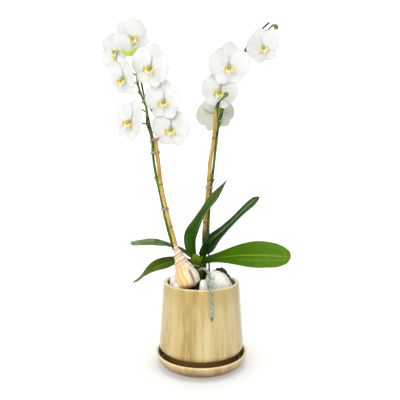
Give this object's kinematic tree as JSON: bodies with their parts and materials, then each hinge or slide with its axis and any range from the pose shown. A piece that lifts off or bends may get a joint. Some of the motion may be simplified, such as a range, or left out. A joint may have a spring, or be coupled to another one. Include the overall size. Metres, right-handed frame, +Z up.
{
  "type": "potted orchid",
  "caption": "White moth orchid with two staked flower spikes, strap leaves and sea shells in a tapered glazed pot on its saucer.",
  "frame": {"origin": "centre of the underside of the saucer's foot, on the surface it stands on", "axes": "+Z up along the pot's axis, -Y towards the side that most of the flowers face, +X to the right seen from there"},
  "size_m": [0.3408, 0.1674, 0.6319],
  "materials": {
    "pot_glaze": "glossy honey-tan glaze with soft upright streaks",
    "bark": "coarse dark bark chips and moss",
    "shell_banded": "white shell with orange-brown spiral bands",
    "shell_white": "white chalky shell with fine ribs",
    "stem": "green stem sheathed in old brown leaf bases",
    "root": "silvery green root with a dried brown end",
    "dry_root": "dry tan root",
    "leaf": "thick waxy green leaf with a paler midrib",
    "spike": "smooth green flower stem",
    "bamboo": "polished split bamboo cane",
    "wire": "dark purple-brown coated support wire",
    "clip": "clear tinted plastic clip",
    "tepal": "white petals and sepals with soft veins",
    "lip": "yellow and white lip with fine purple spots",
    "bud": "olive green closed bud"
  },
  "bodies": {
    "root": {"aerial_root": "root", "bamboo_stake_left": "bamboo", "bamboo_stake_right": "bamboo", "bark_chunk_back": "bark", "bark_chunk_left": "bark", "bud_left_lime": "bud", "bud_right_low": "bud", "bud_right_tip": "bud", "clip_left_low": "clip", "clip_left_mid": "clip", "clip_left_stake_top": "clip", "clip_left_top": "clip", "clip_right_low": "clip", "clip_right_top": "clip", "cockle_shell": "shell_white", "cone_shell": "shell_white", "crown_stem": "stem", "dry_root": "dry_root", "leaf_back_right": "leaf", "leaf_far_left": "leaf", "leaf_low_left": "leaf", "leaf_right": "leaf", "leaf_upright": "leaf", "lip_left_1": "lip", "lip_left_2": "lip", "lip_left_3": "lip", "lip_left_4": "lip", "lip_left_5": "lip", "lip_left_6": "lip", "lip_left_7": "lip", "lip_right_1": "lip", "lip_right_2": "lip", "lip_right_3": "lip", "lip_right_4": "lip", "moss_mound": "bark", "pebble_shell_left": "shell_white", "pot": "pot_glaze", "potting_bark": "bark", "saucer": "pot_glaze", "spike_left": "spike", "spike_right": "spike", "support_wire_left": "wire", "support_wire_right": "wire", "tepals_left_1": "tepal", "tepals_left_2": "tepal", "tepals_left_3": "tepal", "tepals_left_4": "tepal", "tepals_left_5": "tepal", "tepals_left_6": "tepal", "tepals_left_7": "tepal", "tepals_right_1": "tepal", "tepals_right_2": "tepal", "tepals_right_3": "tepal", "tepals_right_4": "tepal", "whelk_shell": "shell_banded"}
  },
  "joints": []
}
